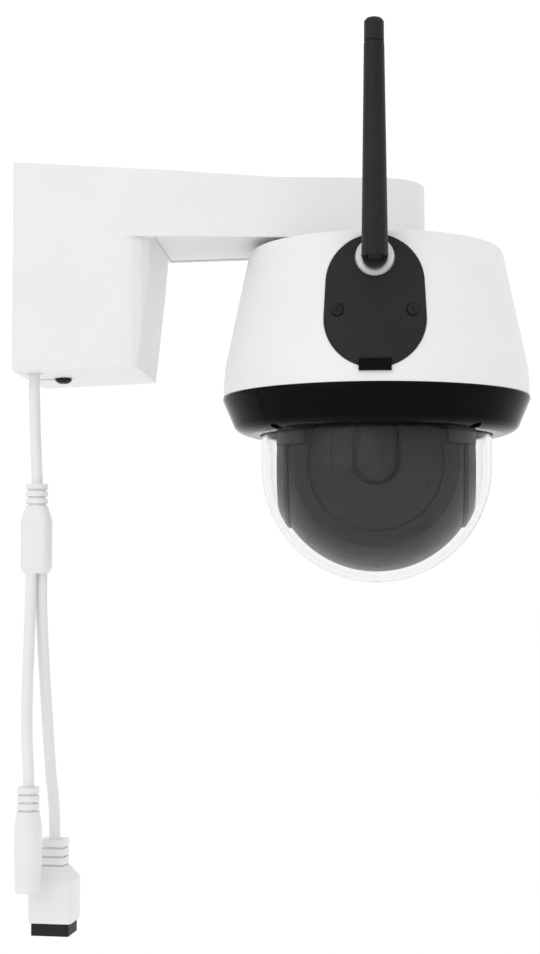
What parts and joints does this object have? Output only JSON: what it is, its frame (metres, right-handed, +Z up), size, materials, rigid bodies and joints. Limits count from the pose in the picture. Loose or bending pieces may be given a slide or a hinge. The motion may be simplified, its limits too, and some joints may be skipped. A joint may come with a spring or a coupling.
{
  "type": "ptz dome camera",
  "caption": "Wall-mounted pan and tilt dome camera with a bracket arm, clear dome, swivelling antenna and a cable tail ending in power and network sockets.",
  "frame": {"origin": "centre of the wall plate's back face, where it meets the wall", "axes": "+X away from the wall along the arm, +Z up, +Y towards the side the lens faces at rest; the antenna is on the -Y side"},
  "size_m": [0.2095, 0.1321, 0.3596],
  "materials": {
    "white_paint": "fine satin powder coat",
    "bright_steel": "satin",
    "dark_steel": "blackened",
    "cast_alloy": "cast, satin",
    "white_cable": "smooth soft vinyl",
    "black_plastic": "fine moulded texture",
    "black_gloss": "polished",
    "black_rubber": "satin",
    "clear_dome": "clear, polished",
    "circuit_board": "solder mask",
    "gear_plastic": "natural acetal",
    "grey_plastic": "satin moulded",
    "lens_glass": "coated",
    "lamp_window": "dark infrared filter"
  },
  "bodies": {
    "base": {"wall_plate": "bright_steel", "bracket_shell": "white_paint", "arm_cover": "white_paint", "arm_cover_screws": "bright_steel", "lock_screw": "dark_steel", "cable_grommet": "white_cable", "mounting_collar": "cast_alloy", "collar_screws": "bright_steel", "inner_cable": "white_cable", "housing_shell": "white_paint", "connector_plate": "black_plastic", "plate_screws": "dark_steel", "card_door_tab": "black_gloss", "trim_ring": "black_gloss", "ring_screws": "dark_steel", "dome_seal": "black_rubber", "dome_cover": "clear_dome", "chassis_screws": "bright_steel", "main_board": "circuit_board", "board_screws": "bright_steel", "chassis_plate": "cast_alloy", "pan_motor": "bright_steel", "pan_post": "cast_alloy", "antenna_socket": "bright_steel", "main_cable": "white_cable", "cable_splitter": "white_cable", "power_cable": "white_cable", "network_cable": "white_cable", "power_jack": "white_cable", "power_jack_pin": "bright_steel", "network_head": "white_cable", "network_socket": "black_plastic"},
    "antenna_base": {"antenna_knuckle": "black_plastic", "antenna_pin": "bright_steel"},
    "antenna": {"antenna_rod": "black_rubber", "antenna_cap": "black_rubber"},
    "pan_head": {"pan_gear": "gear_plastic", "pan_table": "grey_plastic", "yoke": "grey_plastic", "table_screws": "bright_steel", "tilt_fixed_gear": "gear_plastic"},
    "pan_drive": {"pan_pinion": "gear_plastic"},
    "tilt_head": {"ball_rear_shell": "grey_plastic", "ball_front_shell": "grey_plastic", "lens_barrel": "black_plastic", "lens_glass": "lens_glass", "sensor_board": "circuit_board", "light_window": "lamp_window", "tilt_motor": "bright_steel"},
    "tilt_drive": {"tilt_pinion": "gear_plastic"}
  },
  "joints": [
    {"name": "pan", "type": "hinge", "parent": "base", "child": "pan_head", "pos_m": [0.146, 0, -0.08], "axis": [0, 0, 1], "range_deg": [-177, 177]},
    {"name": "pan_drive_spin", "type": "hinge", "parent": "base", "child": "pan_drive", "pos_m": [0.1748, 0, -0.0245], "axis": [0, 0, 1], "range_deg": [-900, 900]},
    {"name": "tilt", "type": "hinge", "parent": "pan_head", "child": "tilt_head", "pos_m": [0.146, 0, -0.08], "axis": [-1, 0, 0], "range_deg": [-10, 90]},
    {"name": "tilt_drive_spin", "type": "hinge", "parent": "tilt_head", "child": "tilt_drive", "pos_m": [0.1732, -0.0144, -0.08], "axis": [-1, 0, 0], "range_deg": [-25, 185]},
    {"name": "antenna_turn", "type": "hinge", "parent": "base", "child": "antenna_base", "pos_m": [0.146, -0.0579, -0.0019], "axis": [0, -1, 0], "range_deg": [-120, 120]},
    {"name": "antenna_fold", "type": "hinge", "parent": "antenna_base", "child": "antenna", "pos_m": [0.146, -0.0635, -0.0019], "axis": [1, 0, 0], "range_deg": [0, 90]}
  ],
  "couplings": [
    {"joint": "pan_drive_spin", "follows": "pan", "ratio": -5},
    {"joint": "tilt_drive_spin", "follows": "tilt", "ratio": 2}
  ]
}
